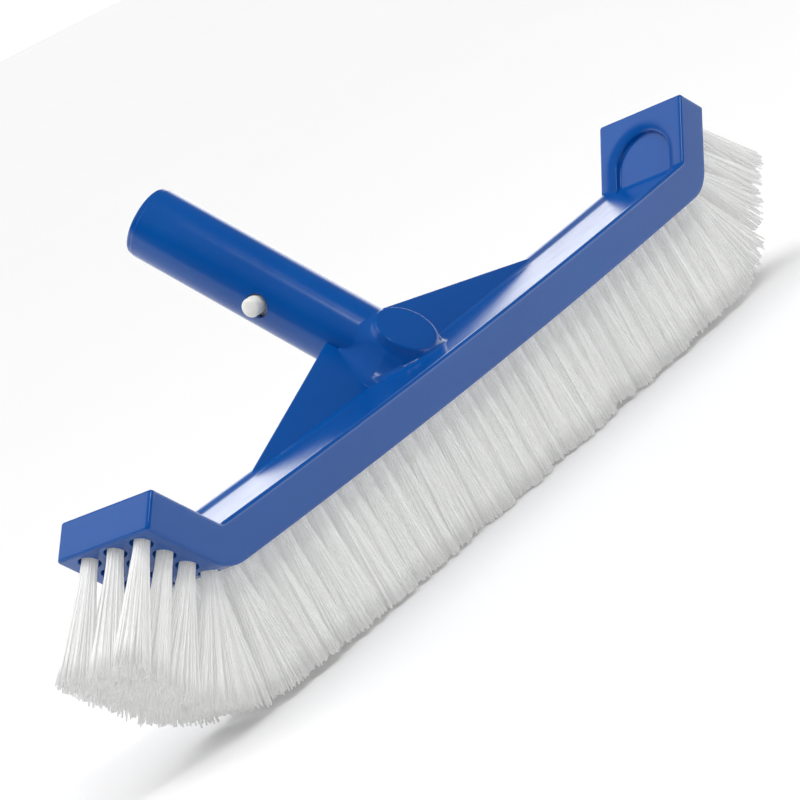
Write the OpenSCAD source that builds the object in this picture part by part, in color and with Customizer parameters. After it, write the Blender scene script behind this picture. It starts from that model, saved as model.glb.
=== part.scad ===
// Curved-end pool wall brush for a telescopic pole.
// One blue moulding holds three rows of staple-set bristle tufts, and its
// hollow spigot carries a plastic snap clip with two opposed buttons.
// Lengths are in millimetres and angles in degrees.
// Origin: the point on the spigot's axis that is level with the snap buttons.
// +X runs along the head, -Y is the front of the head, +Z points away from the bristles.

/* [Head] */
// Half distance between the two inner bends, measured straight
head_half = 175.5; // [150:0.5:200]
// Rise of the inner bends above the middle of the head
head_sag = 2.2; // [1:0.1:4]
// Width of the head, front to back
head_w = 43; // [42:0.5:48]
// Thickness of the head
head_t = 15; // [14:0.5:18]
// Length of each turned-up wing along its top
wing_len = 32.4; // [31:0.2:36]
// Angle of each wing to the horizontal
wing_angle = 47; // [40:1:52]
// Radius of the bend on the bristle side
bend_outer_r = 22; // [18:1:24]
// Radius of the bend on the top side
bend_inner_r = 3; // [2:0.5:5]
// Width of the channel along the top of the head
channel_w = 28; // [24:1:30]
// Depth of the channel along the top of the head
channel_depth = 1.2; // [0.8:0.1:1.6]
// Depth of the round-ended recess in each wing
recess_depth = 3; // [2:0.5:3.5]
// Distance from the bend to the middle of the recess's round end
recess_along = 8.8; // [8:0.2:12]

/* [Tufts] */
// Rows of tufts, front to back
rows = 3; // [3:1:3]
// Distance between rows
row_pitch = 12.1; // [11:0.1:13]
// Tufts in each half of a row
half_count = 21; // [21:1:21]
// Distance from the end of the wing to the centre of its last tuft
end_margin = 6.5; // [6:0.5:8]
// Radius of a tuft hole
hole_r = 3.2; // [3.1:0.05:3.5]
// Depth of a tuft hole
hole_depth = 7.5; // [7:0.25:7.5]
// Length of a tuft outside its hole
tuft_free = 45; // [35:1:55]
// Radius of a tuft at its tip
tuft_tip_r = 4.6; // [3.6:0.1:4.8]
// Gap between a tuft and the wall of its hole
tuft_gap = 0.05; // [0.03:0.01:0.08]

/* [Staples] */
// Width of a staple plate across its hole, which bites into both walls
staple_w = 7; // [6.9:0.1:7.2]
// Thickness of a staple plate
staple_t = 0.5; // [0.4:0.1:0.6]
// Height of a staple plate along the hole
staple_h = 2; // [1.5:0.1:2.5]
// Distance of the staple above the bottom of its hole
staple_lift = 1; // [0.8:0.1:1.5]

/* [Handle] */
// Angle of the spigot to the horizontal
tilt = 48.6; // [46:0.2:52]
// Outer radius of the spigot's fitting land, between its buttons and its mouth
spigot_r = 14.3; // [14.1:0.1:14.5]
// Depth of the relief in the spigot's outer wall between the land and the head
relief = 0.2; // [0.2:0.05:0.4]
// Distance of the land's foot from the snap buttons, towards the mouth
land_foot = 5; // [4.5:0.1:6]
// Inner radius of the spigot
spigot_bore_r = 11.9; // [11.8:0.1:12]
// Distance from the head's level to the snap buttons along the spigot
button_level = 53; // [50:0.5:56]
// Distance from the snap buttons to the mouth of the spigot
mouth_reach = 58.8; // [56:0.2:62]
// Distance from the head's level to the closed end of the bore
bore_floor = 17; // [16:0.5:20]
// Distance back from the head's middle at which the axis meets the head's level
foot_y = 20.8; // [20:0.2:21.4]
// Length of the lead-in at the mouth
lead_in = 2.2; // [1.5:0.1:3]

/* [Gusset and hub] */
// Half width of the gusset where it meets the head
gusset_half = 93.5; // [80:0.5:110]
// Distance up the spigot that the gusset reaches
gusset_top = 21; // [19:0.5:24]
// Thickness of the gusset
gusset_t = 3.2; // [2.6:0.2:4]
// Radius of the flat round face on the hub
pad_r = 12.1; // [11:0.1:13]
// Angle of the flat round face to the horizontal
pad_tilt = 53.4; // [50:0.2:56]
// Distance of the middle of the round face behind the head's middle
pad_y = 7.8; // [7:0.2:9]
// Height of the middle of the round face above the head's level
pad_z = 8.2; // [7.6:0.2:9]

/* [Snap clip] */
// Radius of a snap button
button_r = 3.8; // [3.5:0.1:4]
// Distance a button stands out of the spigot
button_out = 4; // [3.5:0.1:4.5]
// Radius of a button hole
button_hole_r = 4.8; // [4.6:0.1:5]
// Distance of a button hole's centre from its button, towards the head
hole_shift = 0.8; // [0.6:0.1:0.9]
// Width of the clip strip
strip_w = 10; // [9:0.5:10]
// Thickness of the clip strip
strip_t = 1.6; // [1.4:0.1:1.8]
// Distance from the buttons to the arms' pivots, towards the mouth
pivot_reach = 28; // [26:0.5:30]
// Half distance between the pivots
pivot_half = 3; // [2.8:0.1:3.4]
// Distance of the outer face of an arm from the axis, at its button
arm_seat = 10.4; // [10.2:0.1:10.5]
// Length of an arm past its button
arm_tail = 6.5; // [5:0.5:7]

/* [Hidden] */
SIDES = ["left", "right"];
ROW_NAMES = ["front", "middle", "back"];
$fn = 64;

// Hull children take few sides, because a hull becomes triangles.
HULL_FN = 32;
// Reach of a cutter past the face that it opens
OVER = 1;
// Thickness of the slices that a hull joins
SLICE = 0.4;
// Flats in each half of the arch, too many to see
ARCH_FLATS = 12;
// Gap between the clip's bend and each of its arms
PIVOT_GAP = 0.4;
// Plastic under the closed end of the bore
FLOOR_SKIN = 3;
// Distance by which the hub and the buttress stand proud of the spigot's round wall
COLLAR = 0.25;

// The head bends along an arc whose centre is above its middle.
arc_r = (head_half * head_half + head_sag * head_sag) / (2 * head_sag);
arc_half_angle = asin(head_half / arc_r);
arc_centre_z = arc_r - head_sag;
turn = wing_angle - arc_half_angle;

// Distance from the snap buttons to the origin, which is where the mouth's lead-in begins
land_reach = mouth_reach - lead_in;

// Where the head's frame lies: its level passes through the inner bends.
head_reach = button_level + land_reach;
head_origin = [0, -foot_y - head_reach * cos(tilt), -head_reach * sin(tilt)];

// Outer bend: the corner of the two lower faces, and the length the arc takes from each.
bend_trim = bend_outer_r * tan(turn / 2);
corner_reach = head_t * tan(turn / 2);
bar_run = arc_half_angle * PI / 180 * (arc_r + head_t) + corner_reach - bend_trim;
bend_run = turn * PI / 180 * bend_outer_r;
wing_run = wing_len + corner_reach - bend_trim;
tuft_pitch = (bar_run + bend_run + wing_run - end_margin) / (half_count - 0.5);

// Level at which the hub and the buttress meet the spigot
elbow_level = bore_floor - 2;

// Columns of tufts in each zone of a half row, counted out from the middle
ZONES = [["inner", 0, 7], ["outer", 8, 15], ["shoulder", 16, 17], ["wing", 18, 20]];

// The point where the two lower faces of a bend would meet, in the plane of the head's profile
corner = [head_half + corner_reach * cos(arc_half_angle) + head_t * sin(arc_half_angle),
    corner_reach * sin(arc_half_angle) - head_t * cos(arc_half_angle)];

// Place children in the head's frame.
module at_head() translate(head_origin) children();

// Place children with +Z along the spigot towards its mouth, starting at its buttons.
module along_spigot() rotate([tilt - 90, 0, 0]) translate([0, 0, -land_reach]) children();

// Stand a profile drawn in X and Z up across the head's width.
module across(width) rotate([90, 0, 0]) linear_extrude(height = width, center = true) children();

// Place children on the right wing: +X up the wing from the bend, +Z out of its top face.
module on_wing() translate([head_half, 0, 0]) rotate([0, -wing_angle, 0]) children();

// Draw children on the left as well as on the right.
module both_sides() {
    children();
    mirror([1, 0, 0]) children();
}

// ---- Head ----

// A point of the arch, at a depth under the top face and a share of the way to the bend
function arch_point(depth, share) =
    [(arc_r + depth) * sin(share * arc_half_angle),
        arc_centre_z - (arc_r + depth) * cos(share * arc_half_angle)];

// Half of the arched bar between two depths under its top face, in short flats
module bar_profile(top, bottom) {
    polygon(concat([for (i = [0 : ARCH_FLATS]) arch_point(top, i / ARCH_FLATS)],
        [for (i = [ARCH_FLATS : -1 : 0]) arch_point(bottom, i / ARCH_FLATS)]));
}

// The wing and the corner that joins it to the bar, with square bends
module wing_profile() {
    polygon([[head_half, 0],
        [head_half + wing_len * cos(wing_angle), wing_len * sin(wing_angle)],
        [head_half + wing_len * cos(wing_angle) + head_t * sin(wing_angle),
            wing_len * sin(wing_angle) - head_t * cos(wing_angle)],
        corner,
        [head_half + head_t * sin(arc_half_angle), -head_t * cos(arc_half_angle)]]);
}

// What a fillet takes from, or adds to, a corner of the profile:
// the kite between the corner and the fillet's centre, less the fillet's circle
module corner_kite(point, radius) {
    trim = radius * tan(turn / 2);
    along_bar = [-cos(arc_half_angle), -sin(arc_half_angle)];
    along_wing = [cos(wing_angle), sin(wing_angle)];
    centre = point + trim * along_bar + radius * [-sin(arc_half_angle), cos(arc_half_angle)];
    difference() {
        polygon([point, point + trim * along_bar, centre, point + trim * along_wing]);
        translate(centre) circle(r = radius);
    }
}

module half_profile() {
    difference() {
        union() {
            bar_profile(0, head_t);
            wing_profile();
            corner_kite([head_half, 0], bend_inner_r);
        }
        corner_kite(corner, bend_outer_r);
    }
}

module wing_recess() {
    on_wing() translate([0, 0, -recess_depth]) linear_extrude(height = recess_depth + OVER) {
        translate([recess_along, 0]) circle(d = channel_w);
        translate([-bend_inner_r, -channel_w / 2]) square([recess_along + bend_inner_r, channel_w]);
    }
}

// One place for a tuft: the axes come out of the lower face at a distance from the middle.
// Column 0 is next to the middle, and +Z points out of the hole.
module at_tuft(column, row) {
    run = (column + 0.5) * tuft_pitch;
    lean = run < bar_run ? run / (arc_r + head_t) * 180 / PI
        : run < bar_run + bend_run ? arc_half_angle + (run - bar_run) / bend_outer_r * 180 / PI
        : wing_angle;
    bend_centre = corner + bend_trim * [-cos(arc_half_angle), -sin(arc_half_angle)]
        + bend_outer_r * [-sin(arc_half_angle), cos(arc_half_angle)];
    foot = run < bar_run ? [(arc_r + head_t) * sin(lean), arc_centre_z - (arc_r + head_t) * cos(lean)]
        : bend_centre + bend_outer_r * [sin(lean), -cos(lean)]
            + max(0, run - bar_run - bend_run) * [cos(lean), sin(lean)];
    translate([foot[0], (row - 1) * row_pitch, foot[1]]) rotate([180, -lean, 0]) children();
}

module tuft_holes() {
    for (column = [0 : half_count - 1], row = [0 : rows - 1])
        at_tuft(column, row) translate([0, 0, -hole_depth]) cylinder(r = hole_r, h = hole_depth + OVER);
}

module head() {
    difference() {
        both_sides() across(head_w) half_profile();
        both_sides() across(channel_w) bar_profile(-OVER, channel_depth);
        both_sides() wing_recess();
        both_sides() tuft_holes();
    }
}

// ---- Handle ----

// The slice of the round face on the hub
module pad_slice() {
    translate([0, pad_y, pad_z]) rotate([pad_tilt, 0, 0]) translate([0, 0, -SLICE])
        cylinder(r = pad_r, h = SLICE, $fn = HULL_FN);
}

// A slice of the spigot at a distance from the head's level, in the head's frame
module spigot_slice(level) {
    translate(-head_origin) along_spigot() translate([0, 0, level - button_level])
        cylinder(r = spigot_r - relief + COLLAR, h = SLICE, $fn = HULL_FN);
}

// The elbow that carries the round face down to the channel
module hub() {
    hull() {
        pad_slice();
        translate([0, pad_y, -head_sag - channel_depth - OVER])
            cylinder(r = pad_r, h = SLICE, $fn = HULL_FN);
        spigot_slice(elbow_level);
    }
}

// The buttress that carries the spigot's underside to the back of the head
module buttress() {
    foot_depth = 5.5;
    back_inset = 0.5;
    face_inset = 3;
    hull() {
        spigot_slice(elbow_level - 1);
        translate([-spigot_r, head_w / 2 - back_inset - foot_depth, -head_sag - head_t + face_inset])
            cube([2 * spigot_r, foot_depth, head_t - 2 * face_inset]);
    }
}

module gusset() {
    foot_drop = 5;
    translate(-head_origin) along_spigot() rotate([90, 0, 0])
        linear_extrude(height = gusset_t, center = true)
            polygon([[-gusset_half, -button_level], [-spigot_r, gusset_top - button_level],
                [spigot_r, gusset_top - button_level], [gusset_half, -button_level],
                [gusset_half, -foot_drop - button_level], [-gusset_half, -foot_drop - button_level]]);
}

module spigot() {
    lead_in_step = 0.7;
    root = bore_floor - FLOOR_SKIN - button_level;
    along_spigot() rotate_extrude() polygon([[0, root],
        [spigot_r - relief, root],
        [spigot_r - relief, land_foot - relief],
        [spigot_r, land_foot],
        [spigot_r, mouth_reach - lead_in],
        [spigot_r - lead_in_step, mouth_reach],
        [0, mouth_reach]]);
}

module spigot_bore() {
    along_spigot() translate([0, 0, bore_floor - button_level])
        cylinder(r = spigot_bore_r, h = button_level - bore_floor + mouth_reach + OVER);
}

module button_holes() {
    along_spigot() translate([0, 0, -hole_shift]) rotate([0, 90, 0])
        cylinder(r = button_hole_r, h = 2 * (spigot_r + OVER), center = true);
}

module brush_body() {
    color([0.03, 0.24, 0.6]) difference() {
        union() {
            at_head() {
                head();
                hub();
                buttress();
                gusset();
            }
            spigot();
        }
        spigot_bore();
        button_holes();
    }
}

// ---- Snap clip ----

// A strip of the clip, drawn in X and the spigot's axis, across its width
module strip_solid() rotate([90, 0, 0]) linear_extrude(height = strip_w, center = true) children();

module clip_bend() {
    color([0.93, 0.93, 0.9]) along_spigot() strip_solid() {
        translate([0, pivot_reach + strip_t / 2 + PIVOT_GAP]) intersection() {
            difference() {
                circle(r = pivot_half + strip_t / 2);
                circle(r = pivot_half - strip_t / 2);
            }
            translate([-2 * pivot_half, 0]) square([4 * pivot_half, 2 * pivot_half]);
        }
    }
}

// The right arm: it turns on a round end under the bend, leans out to the wall, and runs along it
// past the button.
module clip_arm() {
    neck = strip_t / 2 - 0.1;
    shoulder = 6;
    color([0.93, 0.93, 0.9]) along_spigot() {
        strip_solid() {
            translate([pivot_half, pivot_reach]) circle(r = strip_t / 2);
            polygon([[pivot_half - neck, pivot_reach],
                [pivot_half + neck, pivot_reach],
                [arm_seat, shoulder],
                [arm_seat, -arm_tail],
                [arm_seat - strip_t, -arm_tail],
                [arm_seat - strip_t, shoulder]]);
        }
        translate([arm_seat - strip_t / 2, 0, 0]) rotate([0, 90, 0]) rotate_extrude()
            polygon(button_outline());
    }
}

// Half outline of a button: radius against height above the middle of its arm
function button_outline() = let(
        height = spigot_r + button_out - arm_seat + strip_t / 2,
        round_r = 1.6)
    concat([[0, 0], [button_r, 0], [button_r, height - round_r]],
        [for (a = [22.5 : 22.5 : 67.5])
            [button_r - round_r + round_r * cos(a), height - round_r + round_r * sin(a)]],
        [[button_r - round_r, height], [0, height]]);

module clip_arm_right() clip_arm();
module clip_arm_left() mirror([1, 0, 0]) clip_arm();

// ---- Tufts and staples ----

// One tuft: a round bundle folded over its staple, widening towards its tips
module tuft() {
    root_r = hole_r - tuft_gap;
    clear = 0.05;
    difference() {
        union() {
            translate([0, 0, tuft_gap - hole_depth]) cylinder(r = root_r, h = hole_depth - tuft_gap);
            cylinder(r1 = root_r, r2 = tuft_tip_r, h = tuft_free);
        }
        translate([-staple_w / 2, -staple_t / 2 - clear, staple_lift - hole_depth - clear])
            cube([staple_w, staple_t + 2 * clear, staple_h + 2 * clear]);
    }
}

module staple() {
    translate([-staple_w / 2, -staple_t / 2, staple_lift - hole_depth])
        cube([staple_w, staple_t, staple_h]);
}

// Children at each column of part of a row, on the left or on the right
module along_row(side, row, first, last) {
    at_head() mirror([side == "left" ? 1 : 0, 0, 0])
        for (column = [first : last]) at_tuft(column, row) children();
}

module tufts(row, side, zone) {
    color([0.95, 0.95, 0.95]) along_row(side, row, zone[1], zone[2]) tuft();
}

module staples(row, side) {
    color([0.7, 0.68, 0.6]) along_row(side, row, 0, half_count - 1) staple();
}

brush_body();
clip_bend();
clip_arm_left();
clip_arm_right();
for (row = [0 : rows - 1], side = SIDES) {
    staples(row, side);
    for (zone = ZONES)
        tufts(row, side, zone);
}
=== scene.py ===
"""A curved-end pool wall brush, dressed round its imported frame.

Shapes are worked out in millimetres. Most are worked out in the head's own frame, whose level
passes through the head's two inner bends, and moved into the part's frame as they become meshes.
"""
import logging
from dataclasses import dataclass, field
from enum import Enum
from typing import Callable, Sequence

import bmesh
import bpy
import numpy as np
from mathutils import Matrix, Vector
from numpy.typing import NDArray


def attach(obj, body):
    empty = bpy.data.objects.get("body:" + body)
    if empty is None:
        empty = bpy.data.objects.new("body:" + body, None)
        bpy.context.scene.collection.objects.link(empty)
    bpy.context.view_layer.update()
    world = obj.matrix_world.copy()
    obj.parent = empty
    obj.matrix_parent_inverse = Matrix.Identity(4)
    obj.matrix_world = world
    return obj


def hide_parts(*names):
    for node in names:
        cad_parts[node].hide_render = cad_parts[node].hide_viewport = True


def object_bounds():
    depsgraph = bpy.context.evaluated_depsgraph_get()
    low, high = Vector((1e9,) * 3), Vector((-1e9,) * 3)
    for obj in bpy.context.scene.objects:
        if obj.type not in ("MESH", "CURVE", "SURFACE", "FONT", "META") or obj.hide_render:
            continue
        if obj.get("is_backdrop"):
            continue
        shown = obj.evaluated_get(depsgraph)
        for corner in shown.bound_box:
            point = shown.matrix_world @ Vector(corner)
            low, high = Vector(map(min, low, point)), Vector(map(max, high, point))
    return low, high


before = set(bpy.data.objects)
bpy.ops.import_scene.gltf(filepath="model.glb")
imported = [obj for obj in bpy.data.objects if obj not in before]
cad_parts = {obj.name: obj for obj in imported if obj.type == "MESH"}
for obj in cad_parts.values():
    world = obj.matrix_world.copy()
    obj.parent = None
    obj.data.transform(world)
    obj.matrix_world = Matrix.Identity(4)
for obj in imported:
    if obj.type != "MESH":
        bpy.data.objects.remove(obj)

Array = NDArray[np.float64]
Faces = NDArray[np.int64]

LOG = logging.getLogger("pool_brush")
MM = 0.001
WELD = 0.002 * MM
SPECK = 0.0001 * MM
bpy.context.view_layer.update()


class Body(Enum):
    """The bodies that pieces ride on."""

    ROOT = "root"
    LEFT_BUTTON = "left_button"
    RIGHT_BUTTON = "right_button"


class Slot(Enum):
    """The record's material slots."""

    BODY = "body_plastic"
    CLIP = "clip_plastic"
    STAPLE = "staple_metal"
    BRISTLE = "bristle"


# ---- Mesh tools ----


def grid_faces(rows: int, columns: int, wrap: bool = False, start: int = 0) -> Faces:
    """Joins a grid of points, stored row by row, with quads.

    Args:
        rows: Rows of points.
        columns: Points in a row.
        wrap: Whether each row closes on itself.
        start: Index of the grid's first point.

    Returns:
        An array of quads, four point indices each.
    """
    row = np.arange(rows - 1)[:, None] * columns
    column = np.arange(columns if wrap else columns - 1)[None, :]
    after = (column + 1) % columns
    corners = [row + column, row + after, row + columns + after, row + columns + column]
    return np.stack(corners, -1).reshape(-1, 4) + start


def unit_square(count: int) -> Array:
    """Points round the square from -1 to 1, with a count on each side, from one corner on."""
    ramp, ones = np.linspace(-1.0, 1.0, count + 1)[:-1], np.ones(count)
    sides = [(ramp, -ones), (ones, ramp), (-ramp, ones), (-ones, -ramp)]
    return np.vstack([np.stack(side, 1) for side in sides])


def smooth_step(value: Array, low: float, high: float) -> Array:
    """Rises from 0 at low to 1 at high by the cubic 3t squared less 2t cubed."""
    t = np.clip((value - low) / (high - low), 0.0, 1.0)
    return t * t * (3.0 - 2.0 * t)


def soft_union(first: Array, second: Array, reach: Array | float) -> Array:
    """The smaller of two distances, with a fillet: less (reach - gap) squared over 4 reach."""
    gap = np.maximum(reach - np.abs(first - second), 0.0)
    return np.minimum(first, second) - gap * gap / (4.0 * reach)


def soft_common(first: Array, second: Array, reach: Array | float) -> Array:
    """The larger of two distances, with its ridge rounded as soft_union rounds a valley."""
    return -soft_union(-first, -second, reach)


@dataclass
class MeshParts:
    """Grids of points and faces that become one mesh."""

    points: list[Array] = field(default_factory=list)
    faces: list[Faces] = field(default_factory=list)
    count: int = 0

    def add(self, points: Array, faces: Faces) -> None:
        """Adds points, and faces that count from the first of them.

        Args:
            points: Points, three coordinates each.
            faces: Triangles or quads by point index.
        """
        flat = np.asarray(points, float).reshape(-1, 3)
        self.points.append(flat)
        self.faces.append(np.asarray(faces) + self.count)
        self.count += len(flat)

    def add_grid(self, points: Array, wrap: bool = False) -> None:
        """Adds a grid of points, rows by columns by three, joined with quads."""
        self.add(points, grid_faces(points.shape[0], points.shape[1], wrap))

    def add_bar(self, points: Array) -> None:
        """Adds a closed bar: rings of points along it, and a fan over each end."""
        self.add_grid(points, wrap=True)
        for ring in (points[0], points[-1]):
            self.add_grid(np.stack([ring, np.broadcast_to(ring.mean(0), ring.shape)]), wrap=True)

    def mesh(self, name: str) -> bpy.types.Mesh:
        """Makes the mesh, in metres, with doubles merged and faces turned outwards.

        Args:
            name: Name of the mesh.

        Returns:
            The new mesh.
        """
        mesh = bpy.data.meshes.new(name)
        points = np.vstack(self.points) * MM
        faces = [tuple(f) for block in self.faces for f in block.tolist()]
        mesh.from_pydata(points.tolist(), [], faces)
        work = bmesh.new()
        work.from_mesh(mesh)
        bmesh.ops.remove_doubles(work, verts=work.verts, dist=WELD)
        bmesh.ops.dissolve_degenerate(work, edges=work.edges, dist=SPECK)
        bmesh.ops.recalc_face_normals(work, faces=work.faces)
        work.to_mesh(mesh)
        work.free()
        return mesh


def shown(
    mesh: bpy.types.Mesh, material: bpy.types.Material, sharp: float | None = 40.0
) -> bpy.types.Object:
    """Puts a mesh in the scene at the origin, shaded smooth.

    Args:
        mesh: The mesh.
        material: Its finish.
        sharp: Angle in degrees past which an edge stays sharp, or None for no sharp edge.

    Returns:
        The new object.
    """
    mesh.shade_smooth()
    if sharp is not None:
        mesh.set_sharp_from_angle(angle=np.radians(sharp))
    mesh.materials.append(material)
    piece = bpy.data.objects.new(mesh.name, mesh)
    bpy.context.scene.collection.objects.link(piece)
    return piece


def settle(piece: bpy.types.Object, body: Body, nodes: Sequence[str]) -> None:
    """Makes a piece ride on a body and stand for CAD nodes, and reports it.

    Args:
        piece: The piece.
        body: The body that it rides on.
        nodes: The CAD nodes that it stands for.
    """
    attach(piece, body.value)
    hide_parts(*nodes)
    LOG.info("%s: %d faces, for %s", piece.name, len(piece.data.polygons), ", ".join(nodes))


# ---- Finishes ----


class NodeSheet:
    """A material's nodes, made and joined by short calls."""

    def __init__(self, name: str) -> None:
        """Makes an empty material with a surface shader.

        Args:
            name: Name of the material.
        """
        self.material = bpy.data.materials.new(name)
        self.material.use_nodes = True
        self.tree = self.material.node_tree
        self.shader = self.tree.nodes["Principled BSDF"]

    def add(self, kind: str, **inputs: object) -> bpy.types.Node:
        """Adds a node and sets or joins its inputs.

        Args:
            kind: Type name of the node.
            **inputs: Input names, with underscores for spaces, and a value or an output socket.

        Returns:
            The new node.
        """
        node = self.tree.nodes.new(kind)
        for name, value in inputs.items():
            self.join(node, name.replace("_", " "), value)
        return node

    def join(self, node: bpy.types.Node, name: str, value: object) -> None:
        """Joins an output to an input, or sets the input's value."""
        socket = node.inputs[name]
        if isinstance(value, bpy.types.NodeSocket):
            self.tree.links.new(value, socket)
        else:
            socket.default_value = value

    def set(self, **inputs: object) -> None:
        """Sets or joins the surface shader's inputs."""
        for name, value in inputs.items():
            self.join(self.shader, name.replace("_", " "), value)

    def noise(
        self, scale: float, detail: float, stretch: tuple[float, float, float] = (1.0, 1.0, 1.0)
    ) -> bpy.types.NodeSocket:
        """Smooth random values on the piece's own coordinates.

        Args:
            scale: Repeats in a metre.
            detail: Layers of finer noise.
            stretch: Factors along the three axes.

        Returns:
            The noise's value, from 0 to 1.
        """
        place = self.add("ShaderNodeTexCoord").outputs["Object"]
        turned = self.add("ShaderNodeMapping", Vector=place, Scale=stretch)
        found = self.add("ShaderNodeTexNoise", Vector=turned.outputs[0], Scale=scale, Detail=detail)
        return found.outputs["Fac"]

    def ramp(
        self, value: bpy.types.NodeSocket, stops: Sequence[tuple[float, Sequence[float]]]
    ) -> bpy.types.NodeSocket:
        """Colours by value.

        Args:
            value: The value to look up.
            stops: Positions and their colours, in order.

        Returns:
            The colour found.
        """
        node = self.add("ShaderNodeValToRGB", Fac=value)
        while len(node.color_ramp.elements) < len(stops):
            node.color_ramp.elements.new(0.5)
        for element, (position, colour) in zip(node.color_ramp.elements, stops):
            element.position = position
            element.color = (*colour[:3], 1.0)
        return node.outputs["Color"]

    def spread(self, value: bpy.types.NodeSocket, low: float, high: float) -> bpy.types.NodeSocket:
        """Turns a value from 0 to 1 into one from low to high."""
        node = self.add("ShaderNodeMapRange", Value=value, To_Min=low, To_Max=high)
        return node.outputs["Result"]

    def bump(self, height: bpy.types.NodeSocket, depth: float, **under: object) -> bpy.types.NodeSocket:
        """A normal from a height of 0 to 1 that stands for depth metres, over any normal given."""
        return self.add("ShaderNodeBump", Height=height, Distance=depth, **under).outputs["Normal"]


@dataclass(frozen=True)
class MouldedPlastic:
    """Glossy injection-moulded plastic with faint flow marks, waves and handling scuffs."""

    name: str = "glossy_blue_plastic"
    deep: tuple[float, float, float] = (0.0002, 0.066, 0.305)
    pale: tuple[float, float, float] = (0.0004, 0.081, 0.355)
    gloss: float = 0.15
    gloss_spread: float = 0.09
    specular: float = 0.5
    bending: float = 1.49
    wave: float = 0.00003
    grain: float = 0.000004

    def material(self) -> bpy.types.Material:
        """Builds the material: cloudy colour, uneven gloss, slow waves and a fine grain."""
        sheet = NodeSheet(self.name)
        cloud = sheet.noise(22.0, 3.0, (0.5, 1.0, 1.0))
        scuff = sheet.noise(160.0, 6.0, (0.35, 1.0, 1.0))
        waves = sheet.noise(85.0, 1.5)
        grain = sheet.noise(1900.0, 2.0)
        rough = sheet.spread(scuff, self.gloss, self.gloss + self.gloss_spread)
        sheet.set(
            Base_Color=sheet.ramp(cloud, [(0.3, self.deep), (0.7, self.pale)]),
            Roughness=rough,
            Normal=sheet.bump(grain, self.grain, Normal=sheet.bump(waves, self.wave)),
        )
        sheet.shader.inputs["Specular IOR Level"].default_value = self.specular
        sheet.shader.inputs["IOR"].default_value = self.bending
        return sheet.material


@dataclass(frozen=True)
class SatinPlastic:
    """Off-white satin plastic of the clip, faintly cloudy."""

    name: str = "satin_white_plastic"
    shade: tuple[float, float, float] = (0.80, 0.79, 0.74)
    light: tuple[float, float, float] = (0.90, 0.90, 0.86)
    rough: tuple[float, float] = (0.36, 0.5)
    grain: float = 0.00001
    soft: float = 0.12
    soft_reach: tuple[float, float, float] = (0.002, 0.002, 0.002)

    def material(self) -> bpy.types.Material:
        """Builds the material: cloudy colour, satin gloss and a fine grain."""
        sheet = NodeSheet(self.name)
        cloud = sheet.noise(260.0, 3.0)
        grain = sheet.noise(2600.0, 3.0)
        sheet.set(
            Base_Color=sheet.ramp(cloud, [(0.3, self.shade), (0.7, self.light)]),
            Roughness=sheet.spread(grain, *self.rough),
            Normal=sheet.bump(grain, self.grain),
        )
        sheet.shader.inputs["Subsurface Weight"].default_value = self.soft
        sheet.shader.inputs["Subsurface Radius"].default_value = self.soft_reach
        return sheet.material


@dataclass(frozen=True)
class Filament:
    """Milky extruded filament. Each strand carries its own tint.

    Attributes:
        name: Name of the material.
        shade: Colour of the greyest strands.
        light: Colour of the palest strands.
        rough: Least and most roughness.
        specular: Strength of the gloss.
        clear: Share of the light that passes through a strand.
        painted_glow: Painted glow, an emission that stands in for light reaching a strand through its
            neighbours.
        tint_name: Name of the attribute that holds the strands' tints.
    """

    name: str = "milky_filament"
    shade: tuple[float, float, float] = (0.88, 0.885, 0.885)
    light: tuple[float, float, float] = (0.985, 0.985, 0.98)
    rough: tuple[float, float] = (0.38, 0.55)
    specular: float = 0.35
    clear: float = 0.35
    painted_glow: float = 0.1
    tint_name: str = "strand_tint"

    def material(self) -> bpy.types.Material:
        """Builds the material: the strand's tint sets its colour, noise breaks its gloss, a share passes
        through as translucency, and a painted glow of emission brightens it.
        """
        sheet = NodeSheet(self.name)
        tint = sheet.add("ShaderNodeAttribute")
        tint.attribute_name = self.tint_name
        flecks = sheet.noise(900.0, 2.0)
        sheet.set(
            Base_Color=sheet.ramp(tint.outputs["Fac"], [(0.0, self.shade), (1.0, self.light)]),
            Roughness=sheet.spread(flecks, *self.rough),
        )
        sheet.shader.inputs["Specular IOR Level"].default_value = self.specular
        # Painted glow: the strands emit their palest colour, standing in for light scattered through
        # neighbouring strands.
        sheet.shader.inputs["Emission Color"].default_value = (*self.light, 1.0)
        sheet.shader.inputs["Emission Strength"].default_value = self.painted_glow / (1.0 - self.clear)
        through = sheet.add("ShaderNodeBsdfTranslucent", Color=(*self.light, 1.0))
        blend = sheet.add("ShaderNodeMixShader", Fac=self.clear)
        sheet.tree.links.new(sheet.shader.outputs[0], blend.inputs[1])
        sheet.tree.links.new(through.outputs[0], blend.inputs[2])
        sheet.tree.links.new(blend.outputs[0], sheet.tree.nodes["Material Output"].inputs["Surface"])
        return sheet.material


@dataclass(frozen=True)
class StapleWire:
    """Bright drawn strip of the staples."""

    name: str = "drawn_steel"
    shade: tuple[float, float, float] = (0.45, 0.42, 0.36)
    light: tuple[float, float, float] = (0.66, 0.63, 0.56)
    rough: tuple[float, float] = (0.28, 0.45)
    lines: float = 0.00001

    def material(self) -> bpy.types.Material:
        """Builds the material: metal with fine drawing lines."""
        sheet = NodeSheet(self.name)
        lines = sheet.noise(700.0, 4.0, (1.0, 1.0, 8.0))
        sheet.set(
            Base_Color=sheet.ramp(lines, [(0.3, self.shade), (0.7, self.light)]),
            Metallic=1.0,
            Roughness=sheet.spread(lines, *self.rough),
            Normal=sheet.bump(lines, self.lines),
        )
        return sheet.material


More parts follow.
